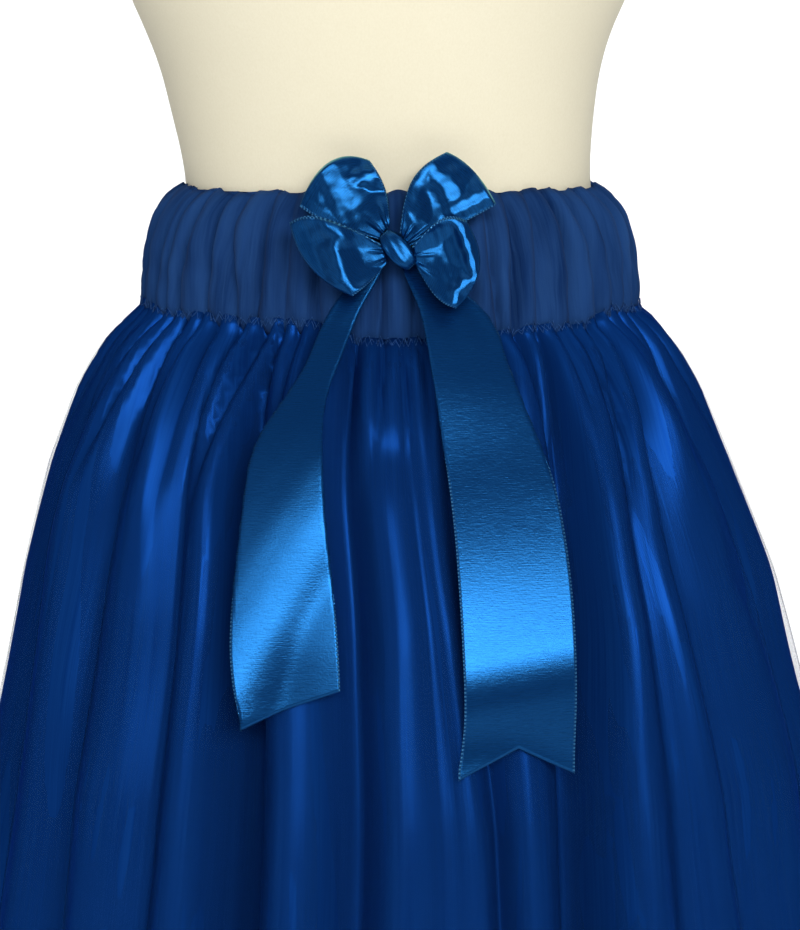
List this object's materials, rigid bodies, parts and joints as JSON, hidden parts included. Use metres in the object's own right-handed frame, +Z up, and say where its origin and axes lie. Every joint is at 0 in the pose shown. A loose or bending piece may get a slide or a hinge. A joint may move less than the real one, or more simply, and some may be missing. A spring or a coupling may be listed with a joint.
{
  "type": "tutu skirt on dress form",
  "caption": "Knee-length gathered satin and tulle skirt with a ruched elastic waistband and a ribbon bow with long tails, worn by a limbless cloth-covered dress form on a round-based stand.",
  "frame": {"origin": "centre of the stand's underside, on the floor", "axes": "+Z up, the front faces -Y, +X to the viewer's right"},
  "size_m": [0.5305, 0.4952, 1.1823],
  "materials": {
    "skirt_satin": "satin",
    "tulle": "sheer",
    "waistband_cloth": "matte",
    "ribbon": "glossy satin",
    "form_cover": "matte jersey",
    "stand_metal": "satin",
    "cap_wood": "satin"
  },
  "bodies": {
    "root": {"form_torso": "form_cover", "form_neck_cap": "cap_wood", "form_pole": "stand_metal", "form_base": "stand_metal", "satin_front_left": "skirt_satin", "satin_front_right": "skirt_satin", "satin_back_right": "skirt_satin", "satin_back_left": "skirt_satin", "tulle_front": "tulle", "tulle_back": "tulle", "waistband_front": "waistband_cloth", "waistband_back": "waistband_cloth", "bow_loop_upper_left": "ribbon", "bow_loop_upper_right": "ribbon", "bow_loop_lower_left": "ribbon", "bow_loop_lower_right": "ribbon", "ribbon_tail_left": "ribbon", "ribbon_tail_right": "ribbon", "bow_knot": "ribbon"}
  },
  "joints": []
}
